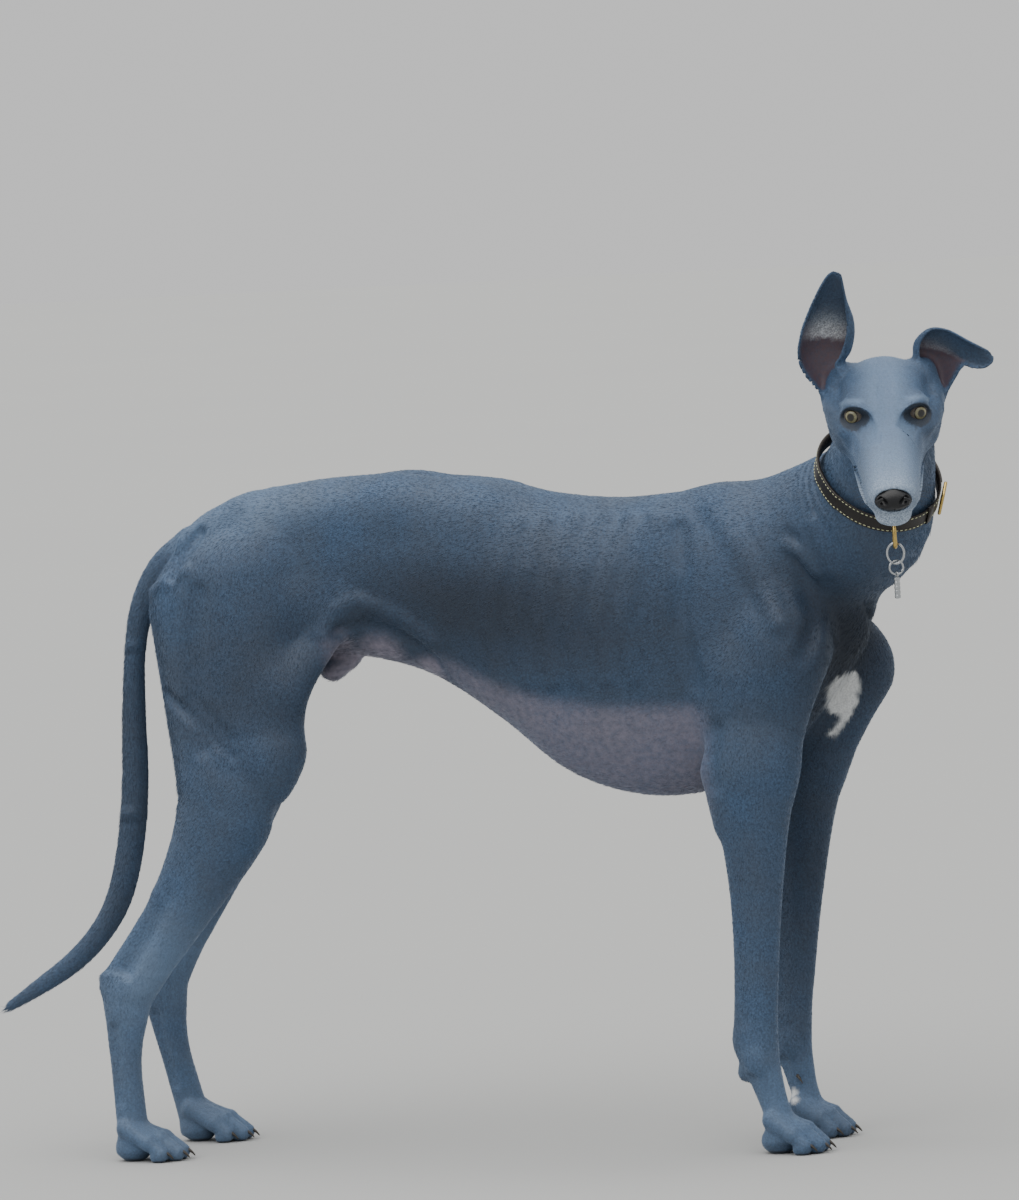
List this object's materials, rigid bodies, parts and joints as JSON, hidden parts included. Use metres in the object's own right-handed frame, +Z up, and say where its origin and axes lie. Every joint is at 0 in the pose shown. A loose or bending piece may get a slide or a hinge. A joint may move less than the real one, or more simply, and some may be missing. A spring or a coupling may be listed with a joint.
{
  "type": "greyhound model",
  "caption": "Life-size still model of a standing greyhound, its head turned to its right, wearing a leather collar with hanging rings and a tag.",
  "frame": {"origin": "on the floor under the middle of the whole model's box", "axes": "+X along the body towards the chest, +Y to the animal's left, +Z up"},
  "size_m": [1.2396, 0.4274, 0.9669],
  "materials": {
    "coat": "matte",
    "nose": "satin",
    "eye": "gloss",
    "claw": "satin",
    "strap": "satin",
    "brass": "polished",
    "steel": "polished"
  },
  "bodies": {
    "root": {"torso": "coat", "neck": "coat", "head": "coat", "ear_right": "coat", "ear_left": "coat", "tail_root": "coat", "tail_middle": "coat", "tail_tip": "coat", "foreleg_right": "coat", "forepaw_right": "coat", "thigh_right": "coat", "lower_leg_right": "coat", "hind_pastern_right": "coat", "hindpaw_right": "coat", "foreleg_left": "coat", "forepaw_left": "coat", "thigh_left": "coat", "lower_leg_left": "coat", "hind_pastern_left": "coat", "hindpaw_left": "coat", "nose": "nose", "eye_right": "eye", "eye_left": "eye", "dewclaw_right": "claw", "claw_forepaw_right_1": "claw", "claw_forepaw_right_2": "claw", "claw_forepaw_right_3": "claw", "claw_forepaw_right_4": "claw", "claw_hindpaw_right_1": "claw", "claw_hindpaw_right_2": "claw", "claw_hindpaw_right_3": "claw", "claw_hindpaw_right_4": "claw", "dewclaw_left": "claw", "claw_forepaw_left_1": "claw", "claw_forepaw_left_2": "claw", "claw_forepaw_left_3": "claw", "claw_forepaw_left_4": "claw", "claw_hindpaw_left_1": "claw", "claw_hindpaw_left_2": "claw", "claw_hindpaw_left_3": "claw", "claw_hindpaw_left_4": "claw", "collar": "strap", "buckle": "brass", "brass_loop": "brass", "ring_oval": "steel", "ring_small": "steel", "tag": "steel"}
  },
  "joints": []
}
